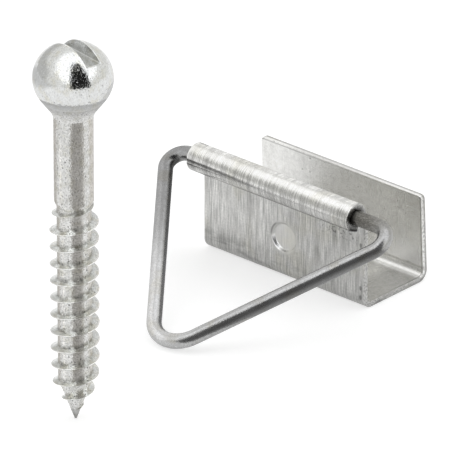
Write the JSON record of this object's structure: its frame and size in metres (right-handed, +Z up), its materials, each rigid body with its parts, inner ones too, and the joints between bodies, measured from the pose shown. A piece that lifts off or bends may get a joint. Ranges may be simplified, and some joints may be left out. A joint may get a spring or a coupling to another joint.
{
  "type": "window screen latch",
  "caption": "Window screen latch: folded channel clip for a screen frame, a triangular wire bail swinging in its rolled knuckle, and a slotted ball-headed screw the bail hooks behind.",
  "frame": {"origin": "middle of the clip's underside, half way along the clip and half way across the channel", "axes": "+X along the channel and the knuckle, -Y from the channel towards the knuckle, the bail and the screw, +Z up out of the channel's open side and along the screw towards its ball"},
  "size_m": [0.0284, 0.0472, 0.0377],
  "materials": {
    "clip_sheet": "mill finish with fine drawn streaks across the strip",
    "bail_wire": "dull drawn wire, lightly mottled",
    "screw_plate": "bright zinc plate"
  },
  "bodies": {
    "clip": {"channel_clip": "clip_sheet"},
    "bail": {"wire_bail": "bail_wire"},
    "screw": {"ball_screw": "screw_plate"}
  },
  "joints": [
    {"name": "bail_hinge", "type": "hinge", "parent": "clip", "child": "bail", "pos_m": [0, -0.0057, 0.01005], "axis": [1, 0, 0], "range_deg": [-207, 60]},
    {"name": "screw_turn", "type": "hinge", "parent": "clip", "child": "screw", "pos_m": [0.00525, -0.03905, 0], "axis": [0, 0, 1], "continuous": true}
  ]
}
